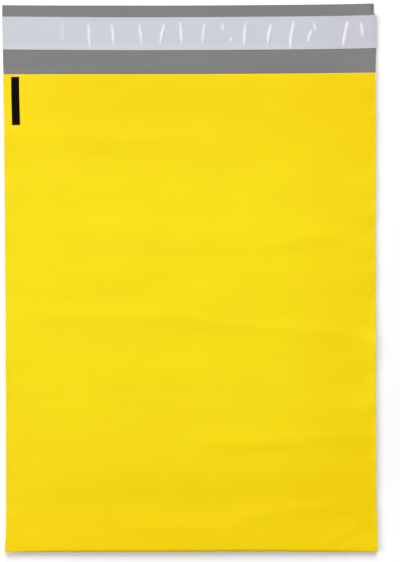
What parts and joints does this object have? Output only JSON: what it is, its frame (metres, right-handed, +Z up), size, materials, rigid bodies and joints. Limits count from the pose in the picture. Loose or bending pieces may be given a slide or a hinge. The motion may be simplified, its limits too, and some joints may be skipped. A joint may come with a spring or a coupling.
{
  "type": "poly mailer bag",
  "caption": "Flat poly mailer bag: folded and side-welded film pouch with a closing lip, an adhesive band and a release liner over it.",
  "frame": {"origin": "on the surface that the bag lies on, under the middle of its outline with the lip open", "axes": "+X across the bag, +Y from the folded bottom to the adhesive lip, +Z up through the front panel"},
  "size_m": [0.305, 0.4462, 0.0041],
  "materials": {
    "film": "satin co-extruded polyethylene film, yellow outside and grey inside",
    "adhesive": "tacky hot melt",
    "liner": "glossy siliconised film"
  },
  "bodies": {
    "root": {"mailer_film": "film", "adhesive_band": "adhesive", "release_liner": "liner"}
  },
  "joints": []
}
